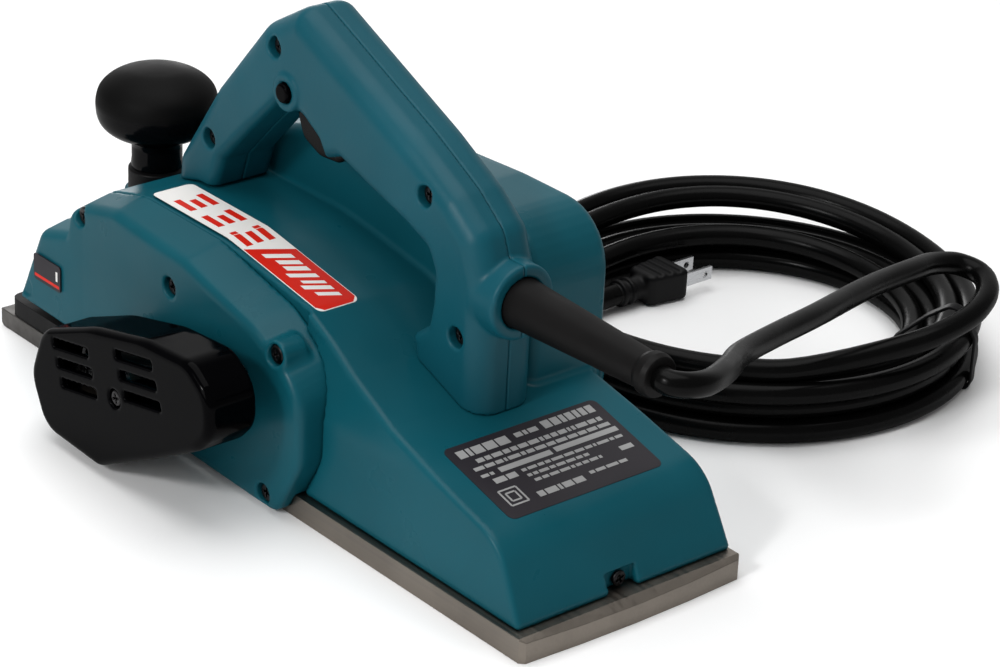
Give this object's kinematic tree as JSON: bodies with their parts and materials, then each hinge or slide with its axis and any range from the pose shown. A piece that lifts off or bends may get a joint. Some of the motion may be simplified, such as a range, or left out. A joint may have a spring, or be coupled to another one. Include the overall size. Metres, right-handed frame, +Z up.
{
  "type": "electric hand planer",
  "caption": "Corded electric hand planer with a bow handle, a front depth knob, a belt-driven cutter drum, a two-part sole and a coiled mains lead.",
  "frame": {"origin": "middle of the sole's length and width, on the plane of the rear base", "axes": "+X towards the front, the direction of travel; +Y to the user's left, the belt side; +Z up"},
  "size_m": [0.3727, 0.414, 0.1865],
  "materials": {
    "machined_aluminium": "fine machined",
    "dark_casting": "dark coated",
    "teal_plastic": "satin moulded",
    "black_plastic": "fine matt",
    "black_gloss": "polished moulded",
    "rubber": "matt",
    "steel": "ground",
    "black_steel": "black oxide",
    "copper": "turned copper",
    "label_red": "printed film",
    "label_dark": "printed film",
    "cord_pvc": "semi-gloss sheath"
  },
  "bodies": {
    "planer": {"rear_base": "machined_aluminium", "motor_housing": "teal_plastic", "side_housing": "teal_plastic", "belt_case": "black_plastic", "belt_cover": "black_gloss", "drive_belt": "rubber", "stator": "black_steel", "motor_bearing_left": "steel", "motor_bearing_right": "steel", "drum_bearing_left": "steel", "drum_bearing_right": "steel", "brush_front": "black_steel", "brush_rear": "black_steel", "end_cover": "teal_plastic", "chip_outlet": "black_plastic", "handle_left": "teal_plastic", "handle_right": "teal_plastic", "switch_body": "black_plastic", "cord_clamp": "black_plastic", "depth_scale": "black_plastic", "top_label": "label_red", "rating_plate": "label_dark", "side_label": "label_dark", "side_screw_1": "black_steel", "side_screw_2": "black_steel", "side_screw_3": "black_steel", "side_screw_4": "black_steel", "cover_screw": "black_steel", "rear_screw": "black_steel", "handle_screw_1": "black_steel", "handle_screw_2": "black_steel", "handle_screw_3": "black_steel", "handle_screw_4": "black_steel", "end_screw_1": "black_steel", "end_screw_2": "black_steel", "cord_guard": "rubber", "cord_lead": "cord_pvc", "cord_coil": "cord_pvc", "cord_tie": "black_plastic", "plug_body": "black_plastic", "plug_blade_1": "steel", "plug_blade_2": "steel"},
    "front_sole": {"front_base": "dark_casting", "base_carrier": "black_plastic"},
    "depth_knob": {"knob_head": "black_gloss", "knob_screw": "steel"},
    "cutter_drum": {"drum": "machined_aluminium", "blade_1": "steel", "blade_2": "steel", "blade_clamp_1": "black_steel", "blade_clamp_2": "black_steel", "drum_pulley": "steel"},
    "motor_rotor": {"armature": "steel", "commutator": "copper", "fan": "black_plastic", "motor_pulley": "steel"},
    "switch_trigger": {"trigger": "black_plastic"},
    "lock_on_button": {"lock_button": "black_gloss"}
  },
  "joints": [
    {"name": "knob_turn", "type": "hinge", "parent": "planer", "child": "depth_knob", "pos_m": [0.1385, 0, 0.1], "axis": [0, 0, -1], "range_deg": [0, 360]},
    {"name": "front_base_lift", "type": "slide", "parent": "planer", "child": "front_sole", "axis": [0, 0, 1], "range_m": [0, 0.002]},
    {"name": "drum_spin", "type": "hinge", "parent": "planer", "child": "cutter_drum", "pos_m": [0.053, 0, 0.0257], "axis": [0, 1, 0], "continuous": true},
    {"name": "motor_spin", "type": "hinge", "parent": "planer", "child": "motor_rotor", "pos_m": [-0.008, 0, 0.047], "axis": [0, 1, 0], "continuous": true},
    {"name": "trigger_pull", "type": "hinge", "parent": "planer", "child": "switch_trigger", "pos_m": [0.02, 0, 0.15], "axis": [0, 1, 0], "range_deg": [0, 8], "stiffness_Nm_per_rad": 1, "springref_deg": -2.86},
    {"name": "lock_press", "type": "slide", "parent": "planer", "child": "lock_on_button", "axis": [0, -1, 0], "range_m": [0, 0.003], "stiffness_N_per_m": 400, "springref_m": -0.001}
  ],
  "couplings": [
    {"joint": "knob_turn", "follows": "front_base_lift", "rad_per_m": 3141.6},
    {"joint": "motor_spin", "follows": "drum_spin", "ratio": 1.25}
  ]
}
